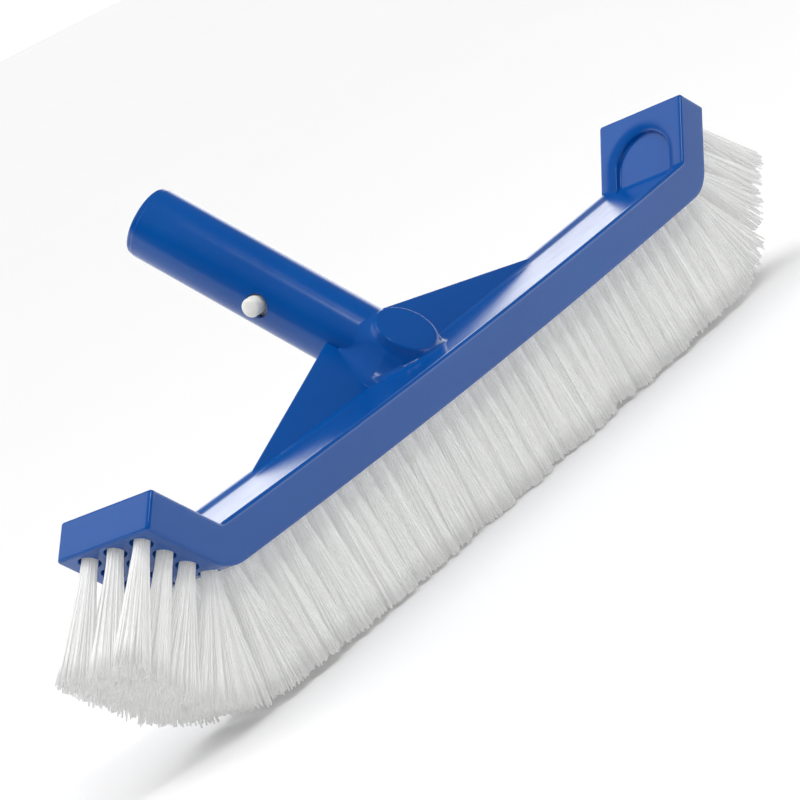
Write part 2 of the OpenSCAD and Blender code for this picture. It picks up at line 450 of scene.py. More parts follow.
@dataclass(frozen=True)
class PalePaper:
    """The floor's plain matt white."""

    name: str = "pale_floor"
    colour: tuple[float, float, float] = (0.9, 0.9, 0.9)

    def material(self) -> bpy.types.Material:
        """Builds the material: one matt colour with a faint unevenness."""
        sheet = NodeSheet(self.name)
        drift = sheet.noise(3.0, 1.0)
        dim = tuple(0.985 * c for c in self.colour)
        sheet.set(Base_Color=sheet.ramp(drift, [(0.0, dim), (1.0, self.colour)]), Roughness=0.9)
        return sheet.material


# ---- Head ----


@dataclass(frozen=True)
class BentLine:
    """Half of a line along the head: a shallow arc, a tight bend and a straight wing.

    Attributes:
        arc_radius: Radius of the shallow arc, whose centre is above the head's middle.
        arc_centre: Height of that centre.
        arc_run: Length of the shallow arc.
        bend_radius: Radius of the tight bend.
        wing_run: Length of the straight wing.
        wing_angle: Angle of the wing to the horizontal, in radians.
    """

    arc_radius: float
    arc_centre: float
    arc_run: float
    bend_radius: float
    wing_run: float
    wing_angle: float

    @property
    def arc_angle(self) -> float:
        """Angle of the line where the bend begins."""
        return self.arc_run / self.arc_radius

    @property
    def bend_run(self) -> float:
        """Length of the tight bend."""
        return (self.wing_angle - self.arc_angle) * self.bend_radius

    @property
    def stations(self) -> list[float]:
        """Lengths at which the line starts, enters and leaves the bend, and ends."""
        bent = self.arc_run + self.bend_run
        return [0.0, self.arc_run, bent, bent + self.wing_run]

    def lean(self, run: Array) -> Array:
        """Angle of the line at a length: it grows by 1 over the radius of each stretch."""
        bent = self.arc_angle + (run - self.arc_run) / self.bend_radius
        return np.where(run < self.arc_run, run / self.arc_radius, np.minimum(bent, self.wing_angle))

    def place(self, run: Array, lift: Array | float = 0.0) -> tuple[Array, Array]:
        """X and Z of points at a length along the line and a height above it.

        Args:
            run: Lengths from the middle.
            lift: Heights along the line's normal, upwards positive.

        Returns:
            Two arrays, X and Z.
        """
        lean = self.lean(run)
        arc = np.minimum(lean, self.arc_angle)
        past = np.maximum(run - self.arc_run - self.bend_run, 0.0)
        x = self.arc_radius * np.sin(arc) + self.bend_radius * (np.sin(lean) - np.sin(arc))
        z = self.arc_centre - self.arc_radius * np.cos(arc)
        z = z - self.bend_radius * (np.cos(lean) - np.cos(arc))
        x = x + past * np.cos(lean) - lift * np.sin(lean)
        z = z + past * np.sin(lean) + lift * np.cos(lean)
        return x, z


@dataclass(frozen=True)
class HeadSizes:
    """Sizes of the head, in millimetres and degrees."""

    half: float = 175.5
    sag: float = 2.2
    width: float = 43.0
    thick: float = 15.0
    wing: float = 32.4
    wing_angle: float = 47.0
    outer_bend: float = 22.0
    inner_bend: float = 3.0
    channel_half: float = 14.0
    channel_depth: float = 1.2
    recess_depth: float = 3.0
    recess_along: float = 8.8
    end_margin: float = 6.5
    columns: int = 21
    rows: int = 3
    row_pitch: float = 12.1
    foot_y: float = 20.8
    button_level: float = 53.0
    land_level: float = 109.6
    tilt: float = 48.6

    @property
    def arc_radius(self) -> float:
        """Radius of the arched top, from its half chord and its rise."""
        return (self.half**2 + self.sag**2) / (2.0 * self.sag)

    @property
    def arc_half_angle(self) -> float:
        """Angle from the head's middle to its inner bend."""
        return float(np.arcsin(self.half / self.arc_radius))

    @property
    def turn(self) -> float:
        """Angle that the head turns at its bend."""
        return float(np.radians(self.wing_angle)) - self.arc_half_angle

    @property
    def origin(self) -> Array:
        """Where the head's frame starts in the part's frame."""
        tilt = np.radians(self.tilt)
        y = -self.foot_y - self.land_level * np.cos(tilt)
        return np.array([0.0, y, -self.land_level * np.sin(tilt)])

    @property
    def top(self) -> BentLine:
        """The line along the top face."""
        trim = self.inner_bend * np.tan(self.turn / 2.0)
        centre = self.arc_radius - self.sag
        run = self.arc_half_angle * self.arc_radius - trim
        wing = self.wing - trim
        return BentLine(self.arc_radius, centre, run, self.inner_bend, wing, np.radians(self.wing_angle))

    @property
    def bottom(self) -> BentLine:
        """The line along the bristle face."""
        reach = self.thick * np.tan(self.turn / 2.0)
        trim = self.outer_bend * np.tan(self.turn / 2.0)
        radius, centre = self.arc_radius + self.thick, self.arc_radius - self.sag
        run = self.arc_half_angle * radius + reach - trim
        wing = self.wing + reach - trim
        return BentLine(radius, centre, run, self.outer_bend, wing, np.radians(self.wing_angle))

    @property
    def tuft_pitch(self) -> float:
        """Distance between tufts along the bristle face."""
        return (self.bottom.stations[-1] - self.end_margin) / (self.columns - 0.5)

    def top_run(self, bottom_run: Array) -> Array:
        """Length along the top face across from a length along the bristle face."""
        return np.interp(bottom_run, self.bottom.stations, self.top.stations)


@dataclass
class MouldedHead:
    """The arched bar with its two wings, its channel, its recesses and its tuft wells.

    Attributes:
        sizes: Sizes shared with the other pieces.
        top_round: Radius of the rounded top edge.
        foot_round: Radius of the rounded lower edge.
        corner_round: Radius of the upright corners at the wing's end.
        steps: Stations for each tuft cell.
        well_radius: Radius of a tuft well.
        well_depth: Depth of a tuft well, down to the folded tuft.
        well_lip: Reach of the rounded lip round a well.
        corner_steps: Points on an upright corner, less one.
        dish_width: Width of the slope round the channel and the recesses.
        dish_depth: Depth of the dish round a recess.
        wall_run: Run of the steep wall of a recess.
        hollow: Depth by which the channel's floor sags in its middle.
        channel_lead: Reach of the channel's slope inside the channel's edge.
    """

    sizes: HeadSizes
    top_round: float = 1.5
    foot_round: float = 1.0
    corner_round: float = 1.6
    steps: int = 8
    well_radius: float = 3.85
    well_depth: float = 5.0
    corner_steps: int = 5
    dish_width: float = 5.2
    dish_depth: float = 1.2
    wall_run: float = 1.0
    hollow: float = 0.12
    channel_lead: float = 0.6
    well_lip: float = 0.22

    def outline(self) -> tuple[Array, Array, Array]:
        """The plan of the bristle face's outer edge, from the middle of the back round the wing.

        The plan is a rectangle with rounded corners. Stations lie opposite the cells of the tufts.

        Returns:
            The outer edge, the edge of the block of tuft cells across from it, and the outward
            directions. Each has a length along the bristle face and a Y in each row.
        """
        s = self.sizes
        end = s.bottom.stations[-1]
        half, corner = s.width / 2.0, self.corner_round
        block_end, block_half = s.columns * s.tuft_pitch, s.rows * s.row_pitch / 2.0
        along = np.linspace(0.0, 1.0, s.columns * self.steps + 1)
        across = np.linspace(1.0, -1.0, s.rows * self.steps + 1)
        angle = np.linspace(np.pi / 2.0, 0.0, self.corner_steps + 2)[1:-1]
        turn = np.stack([np.cos(angle), np.sin(angle)], 1)
        flip = np.array([1.0, -1.0])

        def side(run: float, y: float) -> Array:
            """A straight edge from the middle to a length, at a fixed Y."""
            return np.stack([along * run, np.full_like(along, y)], 1)

        bend = np.array([end - corner, half - corner]) + corner * turn
        face = np.stack([np.full_like(across, end), across * (half - corner)], 1)
        front = side(end - corner, -half)[::-1]
        outer = [side(end - corner, half), bend, face, bend[::-1] * flip, front]
        cell_corner = np.broadcast_to([block_end, block_half], bend.shape)
        cell_face = np.stack([np.full_like(across, block_end), across * block_half], 1)
        inner = [
            side(block_end, block_half),
            cell_corner,
            cell_face,
            cell_corner * flip,
            side(block_end, -block_half)[::-1],
        ]
        back = np.broadcast_to([0.0, 1.0], (len(along), 2))
        out = [back, turn, np.broadcast_to([1.0, 0.0], face.shape), turn[::-1] * flip, back * flip]
        return np.vstack(outer), np.vstack(inner), np.vstack(out)

    def top_height(self, run: Array, gap: Array) -> Array:
        """Height of the top surface under the rim, at a distance from the channel's middle line.

        On the bar the channel's floor climbs to the rim by a smooth step. On a wing the floor lies
        deeper, a steep wall rises out of it, and a dish climbs on to the flat by a parabola.

        Args:
            run: Lengths along the top face.
            gap: Distances from the middle line, or from the middle of the recess's round end.

        Returns:
            Heights, 0 at the rim and negative below it.
        """
        s = self.sizes
        edge = s.channel_half
        sag = self.hollow * (1.0 - np.minimum(gap / edge, 1.0) ** 2)
        climb = smooth_step(gap, edge - self.channel_lead, edge + self.dish_width)
        bar = -s.channel_depth * (1.0 - climb) - sag
        wall = smooth_step(gap, edge - self.wall_run, edge)
        rise = 1.0 - np.clip((gap - edge) / self.dish_width, 0.0, 1.0)
        dish = self.dish_depth * rise**2
        wing = (self.dish_depth - s.recess_depth) * (1.0 - wall) - np.where(gap < edge, self.dish_depth, dish)
        bent = s.top.stations
        share = smooth_step(run, bent[1] - 1.0, bent[2] + 1.0)
        return bar * (1.0 - share) + wing * share

    def build(self) -> bpy.types.Mesh:
        """Builds the head as one closed skin: top, rounded edges, walls and the bristle face."""
        parts = MeshParts()
        outer, block, out = self.outline()
        for mirror in (1.0, -1.0):
            for grid in self.skin_grids(outer, block, out):
                parts.add_grid(grid * [mirror, 1.0, 1.0] + self.sizes.origin)
            wells = self.well_points() * [mirror, 1.0, 1.0] + self.sizes.origin
            cells, rings, points = wells.shape[:3]
            faces = grid_faces(rings, points, wrap=True)
            starts = np.arange(cells)[:, None, None] * rings * points
            parts.add(wells, (faces[None] + starts).reshape(-1, 4))
        return parts.mesh("head_moulding")

    def skin_grids(self, outer: Array, block: Array, out: Array) -> list[Array]:
        """The top, the skirt and the border of the right half, each a grid of points.

        Args:
            outer: Plan of the outer edge on the bristle face.
            block: Plan of the edge of the block of tuft cells.
            out: Outward directions in the plan.

        Returns:
            Grids of points in the head's frame.
        """
        s = self.sizes
        rim = np.stack([s.top_run(outer[:, 0]), outer[:, 1]], 1)
        inset = rim - out * self.top_round
        centre = s.top.stations[2] + s.recess_along - (s.wing - s.top.wing_run)
        spine = np.stack([np.minimum(inset[:, 0], centre), np.zeros(len(inset))], 1)
        ray = inset - spine
        reach = np.hypot(ray[:, 0], ray[:, 1])[:, None]
        edge, foot = s.channel_half, s.channel_half - self.wall_run
        near = np.array([0.0, 4.0, 8.0, 11.0, foot - 0.5, foot - 0.15])
        wall = np.linspace(foot, edge, 7)
        slope = edge + self.dish_width * np.linspace(0.0, 1.0, 9)[1:]
        fixed = np.concatenate([near, wall, slope])[None, :] * np.ones_like(reach)
        fixed = np.minimum(fixed, reach - 0.01 * np.arange(fixed.shape[1])[::-1])
        last = fixed[:, -1:]
        gaps = np.hstack([fixed, last + (reach - last) * np.array([[1 / 3, 2 / 3, 1.0]])])
        plan = spine[:, None, :] + ray[:, None, :] / reach[..., None] * gaps[..., None]
        height = self.top_height(plan[..., 0], gaps)
        x, z = s.top.place(plan[..., 0], height)
        top = np.stack([x, plan[..., 1], z], -1)

        quarter = np.linspace(0.0, np.pi / 2.0, 6)
        round_in, round_down = 1.0 - np.sin(quarter), 1.0 - np.cos(quarter)
        over = rim[:, None, :] - out[:, None, :] * (self.top_round * round_in)[None, :, None]
        x, z = s.top.place(over[..., 0], -self.top_round * round_down)
        brow = np.stack([x, over[..., 1], z], -1)
        under = outer[:, None, :] - out[:, None, :] * (self.foot_round * round_in[::-1])[None, :, None]
        x, z = s.bottom.place(under[..., 0], self.foot_round * round_down[::-1])
        hem = np.stack([x, under[..., 1], z], -1)
        down = np.linspace(0.0, 1.0, 6)[None, :, None]
        wall_grid = brow[:, -1:] * (1.0 - down) + hem[:, :1] * down

        lip = outer - out * self.foot_round
        ease = np.linspace(0.0, 1.0, 3)[None, :, None]
        strip = lip[:, None, :] * (1.0 - ease) + block[:, None, :] * ease
        x, z = s.bottom.place(strip[..., 0])
        border = np.stack([x, strip[..., 1], z], -1)
        return [top, brow, wall_grid, hem, border]

    def well_points(self) -> Array:
        """Points of every tuft cell of the right half, in rings from the well's floor outwards.

        A ring is a circle inside the well and on its lip, and the cell's rectangle at its edge. The
        angles of a circle's points are those of the rectangle's points.

        Returns:
            Points by cell, ring and place in the ring.
        """
        s, n = self.sizes, self.steps
        rectangle = unit_square(n) * [s.tuft_pitch / 2.0, s.row_pitch / 2.0]
        angle = np.arctan2(rectangle[:, 1], rectangle[:, 0])
        circle = np.stack([np.cos(angle), np.sin(angle)], 1)
        radius = self.well_radius
        brim = radius + self.well_lip
        floor = [0.0, radius * 0.6, radius, radius, radius + 0.06, brim]
        lift = [self.well_depth, self.well_depth, self.well_depth, 0.5, 0.14, 0.0]
        rings = [circle * r for r in floor] + [(circle * brim + rectangle) / 2.0, rectangle]
        lifts = np.array(lift + [0.0, 0.0])
        column, row = np.meshgrid(np.arange(s.columns), np.arange(s.rows), indexing="ij")
        middle = np.stack([(column + 0.5) * s.tuft_pitch, (row - 1.0) * s.row_pitch], -1)
        plan = middle.reshape(-1, 1, 1, 2) + np.stack(rings)[None]
        x, z = s.bottom.place(plan[..., 0], lifts[None, :, None])
        return np.stack([x, plan[..., 1], z], -1)


# ---- Handle ----


@dataclass
class CubeSkin:
    """Finds the closed skin where a field of distances is zero, on a grid of cubes.

    Attributes:
        low: Lowest corner of the grid.
        high: Highest corner of the grid.
        cell: Side of a cube.
    """

    low: tuple[float, float, float]
    high: tuple[float, float, float]
    cell: float

    def skin(self, distance: Callable[[Array], Array]) -> tuple[Array, Faces]:
        """Puts one point in each cube that the skin crosses, and a quad round each crossed edge.

        A point starts at the mean of the crossings on its cube's edges. It then moves on to the
        skin by Newton steps along the field's slope.

        Args:
            distance: The field. It takes points and gives signed distances, negative inside.

        Returns:
            The points and the quads.
        """
        axes = [np.arange(a, b + self.cell, self.cell) for a, b in zip(self.low, self.high)]
        grid = np.stack(np.meshgrid(*axes, indexing="ij"), -1)
        value = distance(grid)
        shape = np.array(value.shape)
        total = np.zeros((*(shape - 1), 3))
        hits = np.zeros(tuple(shape - 1))
        for axis in range(3):
            self.add_crossings(value, grid, axis, total, hits)
        crossed = hits > 0
        index = np.full(crossed.shape, -1)
        index[crossed] = np.arange(crossed.sum())
        points = total[crossed] / hits[crossed][:, None]
        quads = [self.quads(value, index, axis) for axis in range(3)]
        return self.drawn_in(points, distance), np.vstack(quads)

    @staticmethod
    def ends(grid: Array, axis: int) -> tuple[Array, Array]:
        """The values at the two ends of every edge along one axis."""
        count = grid.shape[axis]
        return np.take(grid, range(count - 1), axis), np.take(grid, range(1, count), axis)

    def add_crossings(self, value: Array, grid: Array, axis: int, total: Array, hits: Array) -> None:
        """Adds the crossings on the edges along one axis to the cubes round them.

        Args:
            value: The field at the grid's points.
            grid: The grid's points.
            axis: Direction of the edges.
            total: Sum of crossings for each cube, added to.
            hits: Count of crossings for each cube, added to.
        """
        first, second = self.ends(value, axis)
        start, stop = self.ends(grid, axis)
        change = (first < 0) != (second < 0)
        share = np.where(change, first / np.where(change, first - second, 1.0), 0.0)[..., None]
        place = np.where(change[..., None], start + (stop - start) * share, 0.0)
        others = [a for a in range(3) if a != axis]
        for a in (0, 1):
            for b in (0, 1):
                cut = [slice(None)] * 3
                cut[others[0]] = slice(a, value.shape[others[0]] - 1 + a)
                cut[others[1]] = slice(b, value.shape[others[1]] - 1 + b)
                total += place[tuple(cut)]
                hits += change[tuple(cut)]

    @staticmethod
    def quads(value: Array, index: Faces, axis: int) -> Faces:
        """Quads round the crossed edges along one axis, turned by the side that is inside."""
        first, second = CubeSkin.ends(value, axis)
        u, v = [a for a in range(3) if a != axis]
        inner = [slice(None)] * 3
        inner[u], inner[v] = slice(1, value.shape[u] - 1), slice(1, value.shape[v] - 1)
        first, second = first[tuple(inner)], second[tuple(inner)]
        where = np.argwhere((first < 0) != (second < 0))
        inside = first[tuple(where.T)] < 0
        corners = []
        for du, dv in ((0, 0), (1, 0), (1, 1), (0, 1)):
            cube = where.copy()
            cube[:, u] += du
            cube[:, v] += dv
            corners.append(index[tuple(cube.T)])
        found = np.stack(corners, 1)
        swap = inside if axis != 1 else ~inside
        return np.where(swap[:, None], found, found[:, ::-1])

    def drawn_in(self, points: Array, distance: Callable[[Array], Array]) -> Array:
        """Moves points on to the skin by four damped Newton steps along the field's slope."""
        step = 0.02
        for _ in range(4):
            slopes = [
                (distance(points + step * axis) - distance(points - step * axis)) / (2.0 * step)
                for axis in np.eye(3)
            ]
            slope = np.stack(slopes, -1)
            size = np.maximum((slope**2).sum(-1, keepdims=True), 0.2)
            move = -0.8 * distance(points)[:, None] * slope / size
            points = points + np.clip(move, -self.cell / 2.0, self.cell / 2.0)
        return points


@dataclass
class Handle:
    """The hollow spigot, the hub with its flat round face, and the gusset.

    Attributes:
        sizes: Sizes shared with the head.
        radius: Outer radius of the spigot.
        bore: Inner radius of the spigot.
        mouth: Distance from the head's level to the mouth, along the spigot.
        bore_floor: Distance from the head's level to the closed end of the bore.
        foot: Distance from the head's level to the spigot's hidden end.
        around: Flats round the spigot.
        hole_radius: Radius of a button hole.
        hole_shift: Distance from a button's middle down to its hole's middle.
        hole_reach: Half height of the stretch of wall round a hole.
        hole_turn: Half width of that stretch, in flats.
        hole_steps: Points on each side of that stretch.
        pad_radius: Radius of the hub's flat round face.
        pad_tilt: Angle of that face to the horizontal.
        pad_y: Y of that face's middle.
        pad_z: Height of that face's middle.
        pad_edge: Fillet between that face and the hub's wall.
        pad_margin: Reach of the face's cut past its rim.
        cut_edge: Fillet of that cut.
        tuck: Distance by which the hub's round wall lies inside the spigot's.
        elbow_top: Level where the hub's round wall ends, on the spigot.
        elbow_foot: Distance from the head's level to its other end, in the head.
        flare: Growth of the post for each millimetre below the flat face.
        web_top: Level where the web beside the spigot ends.
        web_half: Half length of the web.
        web_rise: Level where the web's fillet has shrunk away.
        web_fillet: Fillet of the web at the head's level.
        buttress_half: Half width of the buttress behind the hub.
        buttress_back: Y of the buttress's lower edge.
        buttress_foot: Depth of that edge under the head's level.
        buttress_front: Y of the buttress's hidden face, inside the head.
        buttress_top: Level where the buttress meets the spigot.
        buttress_tilt: Angle of its underside to the horizontal.
        buttress_fillet: Fillet of the buttress.
        ground_y: Y of the middle of the fillet on the channel's floor.
        ground_half: Half widths of that fillet's oval.
        ground_fillet: Reach of that fillet.
        gusset_half: Half length of the gusset at the head's level.
        gusset_tip: Length by which the gusset's thin ends run on inside the head.
        gusset_top: Level where the gusset meets the spigot.
        gusset_thick: Thickness of the gusset.
        gusset_edge: Radius of the gusset's rounded edges.
    """

    sizes: HeadSizes
    radius: float = 14.3
    bore: float = 11.9
    mouth: float = 111.8
    bore_floor: float = 17.0
    foot: float = 9.0
    around: int = 96
    hole_radius: float = 4.8
    hole_shift: float = 0.8
    hole_reach: float = 8.0
    hole_turn: int = 8
    hole_steps: int = 16
    pad_radius: float = 12.1
    pad_tilt: float = 53.4
    pad_y: float = 7.8
    pad_z: float = 8.2
    pad_edge: float = 0.45
    pad_margin: float = 1.2
    cut_edge: float = 0.3
    tuck: float = 0.05
    elbow_top: float = 27.0
    elbow_foot: float = 8.0
    flare: float = 0.2
    web_top: float = 14.7
    web_half: float = 26.0
    web_rise: float = 15.5
    web_fillet: float = 11.0
    buttress_half: float = 12.8
    buttress_back: float = 21.0
    buttress_foot: float = 14.2
    buttress_front: float = 18.0
    buttress_top: float = 13.5
    buttress_tilt: float = 37.52
    buttress_fillet: float = 3.0
    ground_y: float = 10.0
    ground_half: tuple[float, float] = (21.0, 13.5)
    ground_fillet: float = 2.4
    gusset_half: float = 93.5
    gusset_tip: float = 11.0
    gusset_top: float = 21.0
    gusset_thick: float = 3.2
    gusset_edge: float = 0.9

    @property
    def along(self) -> Array:
        """Direction of the spigot, away from the head."""
        tilt = np.radians(self.sizes.tilt)
        return np.array([0.0, np.cos(tilt), np.sin(tilt)])

    @property
    def over(self) -> Array:
        """Direction out of the gusset's front face."""
        tilt = np.radians(self.sizes.tilt)
        return np.array([0.0, -np.sin(tilt), np.cos(tilt)])

    def spot(self, x: Array, level: Array, height: Array) -> Array:
        """A point of the part's frame from X, the level along the spigot and the height over it."""
        origin = self.sizes.origin + [0.0, self.sizes.foot_y, 0.0]
        x, level, height = (part[..., None] for part in np.broadcast_arrays(x, level, height))
        return origin + x * np.array([1.0, 0.0, 0.0]) + level * self.along + height * self.over

    # -- Spigot --

    def ring_grid(self, radii: Array, levels: Array, angles: Array) -> Array:
        """A surface turned about the axis: radius and level in step, swept through the angles."""
        x = radii[:, None] * np.cos(angles)[None, :]
        height = radii[:, None] * np.sin(angles)[None, :]
        return self.spot(x, levels[:, None] * np.ones_like(x), height)

    def hole_patch(self, radius: float, lip: float, side: float) -> Array:
        """The stretch of round wall about a button hole, from the hole's circle out to a square.

        The square's sides are angles about the axis and levels along it. The hole is straight, so
        its circle's angle about the axis has a sine of Y over the wall's radius.

        Args:
            radius: Radius of the wall.
            lip: Radius of the hole's circle.
            side: 1 for the right-hand hole and -1 for the left-hand one.

        Returns:
            Rings of points, from the circle to the square.
        """
        square = unit_square(self.hole_steps)
        turn, reach = self.hole_turn * 2.0 * np.pi / self.around, self.hole_reach
        angle = np.arctan2(square[:, 1] * reach, square[:, 0] * turn * radius)
        across = np.arcsin(lip * np.cos(angle) / radius)
        circle = np.stack([across, lip * np.sin(angle) - self.hole_shift], 1)
        edge = square * [turn, reach]
        share = np.array([0.0, 0.12, 0.4, 0.7, 1.0])[:, None, None]
        flat = circle[None] * (1.0 - share) + edge[None] * share
        x = side * radius * np.cos(flat[..., 0])
        return self.spot(x, flat[..., 1] + self.sizes.button_level, radius * np.sin(flat[..., 0]))

    def build_spigot(self) -> bpy.types.Mesh:
        """Builds the spigot: outer wall, mouth, bore and closed foot, with two button holes.

        Each stretch is a profile of radius and level, turned about the axis.
        """
        parts = MeshParts()
        step = 2.0 * np.pi / self.around
        turn = self.hole_turn * step
        low = self.sizes.button_level - self.hole_reach
        high = self.sizes.button_level + self.hole_reach
        full = np.arange(self.around + 1) * step
        upper = np.linspace(turn, np.pi - turn, self.around // 2 - 2 * self.hole_turn + 1)
        window = np.linspace(low, high, self.hole_steps + 1)
        r, b, floor, foot = self.radius, self.bore, self.bore_floor, self.foot
        rim = [
            (r, 0.0, -2.75), (r, -0.02, -2.6), (r, -0.2, -2.45), (r, -0.24, -2.25), (r, -0.3, -1.2),
            (r, -0.42, -0.6), (r, -0.7, -0.2), (r, -1.05, 0.0), (b, 0.55, 0.0), (b, 0.2, -0.15),
            (b, 0.0, -0.6),
        ]
        lip = [(base + more, self.mouth + down) for base, more, down in rim]
        runs = [
            [(r, high), (r, 90.0), *lip, (b, 90.0), (b, high)],
            [(0.0, foot), (r - 0.3, foot), (r, foot + 0.3), (r, 20.0), (r, 32.0), (r, low)],
            [(b, low), (b, 32.0), (b, floor + 1), (b - 0.3, floor + 0.3), (b - 1, floor), (0, floor)],
        ]
        for run in runs:
            radii, levels = np.array(run).T
            parts.add_grid(self.ring_grid(radii, levels, full))
        for radius in (self.radius, self.bore):
            for angles in (upper, upper + np.pi):
                parts.add_grid(self.ring_grid(np.full_like(window, radius), window, angles))
        for side in (1.0, -1.0):
            outside = self.hole_patch(self.radius, self.hole_radius + 0.25, side)
            inside = self.hole_patch(self.bore, self.hole_radius, side)
            throat = self.hole_patch(self.radius - 0.25, self.hole_radius, side)[:1]
            parts.add_grid(outside, wrap=True)
            parts.add_grid(inside, wrap=True)
            parts.add_grid(np.concatenate([outside[:1], throat, inside[:1]]), wrap=True)
        return parts.mesh("spigot_tube")

    # -- Hub --

    def hub_distance(self, points: Array) -> Array:
        """Distance to the hub, in the head's frame: a round elbow, an oval post and a buttress.

        Each is a simple shape, and soft unions fillet them into each other. The post is upright,
        the boss stands square to the flat round face, and both widen a fifth of a millimetre for
        each one below that face. The face is cut last, so its rim stays crisp. The bore is left
        open, and the foot ends on a slope inside the head, clear of the tuft wells.

        Args:
            points: Points in the head's frame.

        Returns:
            Distances, negative inside.
        """
        s = self.sizes
        x, y, z = points[..., 0], points[..., 1], points[..., 2]
        dy = y - s.foot_y
        level = dy * self.along[1] + z * self.along[2]
        height = dy * self.over[1] + z * self.over[2]
        tube = np.hypot(x, height) - (self.radius - self.tuck)
        tube = np.maximum(np.maximum(tube, level - self.elbow_top), -self.elbow_foot - level)

        cos_pad, sin_pad = np.cos(np.radians(self.pad_tilt)), np.sin(np.radians(self.pad_tilt))
        py, pz = y - self.pad_y, z - self.pad_z
        face = pz * cos_pad - py * sin_pad
        depth = np.maximum(-face, -2.0)
        wide, deep = self.pad_radius + self.flare * depth, self.pad_radius * cos_pad + self.flare * depth
        post = oval_distance(x, py, wide, deep)
        boss = np.maximum(np.hypot(x, py * cos_pad + pz * sin_pad) - wide, -height)
        body = soft_union(post, boss, 0.05 + 3.0 * np.clip(depth / 6.0, 0.0, 1.0))
        body = soft_common(body, face, self.pad_edge)
        body = soft_union(tube, body, 0.3 + 4.7 * np.clip(depth / 5.0, 0.0, 1.0))

        web = np.abs(height) - self.gusset_thick / 2.0 + 0.06
        web = np.maximum(np.maximum(web, level - self.web_top), np.abs(x) - self.web_half)
        web_reach = 0.3 + self.web_fillet * np.clip(1.0 - level / self.web_rise, 0.0, 1.2) ** 0.8
        body = soft_union(body, web, web_reach)

        foot = z + self.buttress_foot
        slope = np.radians(self.buttress_tilt)
        under = (y - self.buttress_back) * np.sin(slope) - foot * np.cos(slope)
        buttress = soft_common(under, np.abs(x) - self.buttress_half, self.buttress_fillet)
        for side in (self.buttress_front - y, height, level - self.buttress_top, -foot):
            buttress = np.maximum(buttress, side)
        body = soft_union(body, buttress, self.buttress_fillet)

        ground = z + s.sag + s.channel_depth + 0.2
        ground = np.maximum(ground, oval_distance(x, y - self.ground_y, *self.ground_half))
        body = soft_union(body, ground, self.ground_fillet)

        margin = self.pad_margin
        rim = oval_distance(x, py, self.pad_radius + margin, self.pad_radius * cos_pad + margin)
        body = soft_common(body, -np.maximum(-face, rim), self.cut_edge)
        hollow = np.hypot(x, height) - (self.bore + self.radius) / 2.0
        body = np.maximum(body, -np.maximum(hollow, self.foot + 3.0 - level))
        return np.maximum(body, -7.0 - z - 1.2 * np.maximum(y - 15.0, 0.0))

    def build_hub(self) -> bpy.types.Mesh:
        """Builds the hub from the skin of its distance field."""
        points, quads = CubeSkin((-27.0, -6.0, -17.0), (27.0, 52.0, 34.0), 0.5).skin(self.hub_distance)
        parts = MeshParts()
        parts.add(points + self.sizes.origin, quads)
        return parts.mesh("hub")

    # -- Gusset --

    def build_gusset(self) -> bpy.types.Mesh:
        """Builds the gusset: a thin section with rounded top edges, carried from end to end.

        Its height falls in a straight line from the spigot to nothing at each end.
        """
        half, edge = self.gusset_thick / 2.0, self.gusset_edge
        wing = np.linspace(self.radius, self.gusset_half + self.gusset_tip, 60)
        x = np.concatenate([-wing[::-1], [0.0], wing])
        fall = (self.gusset_half - np.abs(x)) / (self.gusset_half - self.radius)
        top = self.gusset_top * np.minimum(fall, 1.0)
        quarter = np.linspace(0.0, np.pi / 2.0, 6)
        rise = edge * (np.sin(quarter) - 1.0)
        width = half - edge + edge * np.cos(quarter)
        foot = np.full((len(x), 1), -5.0)
        levels = np.hstack([foot, top[:, None] + np.concatenate([rise, rise[::-1]]), foot])
        heights = np.concatenate([[half], width, -width[::-1], [-half]])
        parts = MeshParts()
        parts.add_bar(self.spot(x[:, None], levels, heights[None, :]))
        return parts.mesh("gusset")


def oval_distance(x: Array, y: Array, across: Array | float, deep: Array | float) -> Array:
    """Distance to an upright oval wall, about: the oval's ratio less 1, over the ratio's slope.

    Args:
        x: X from the oval's middle.
        y: Y from the oval's middle.
        across: Half width along X.
        deep: Half width along Y.

    Returns:
        Distances, negative inside.
    """
    ratio = np.sqrt((x / across) ** 2 + (y / deep) ** 2)
    slope = np.sqrt((x / across**2) ** 2 + (y / deep**2) ** 2) / np.maximum(ratio, 1e-3)
    return (ratio - 1.0) / np.maximum(slope, 0.02)


# ---- Snap clip ----


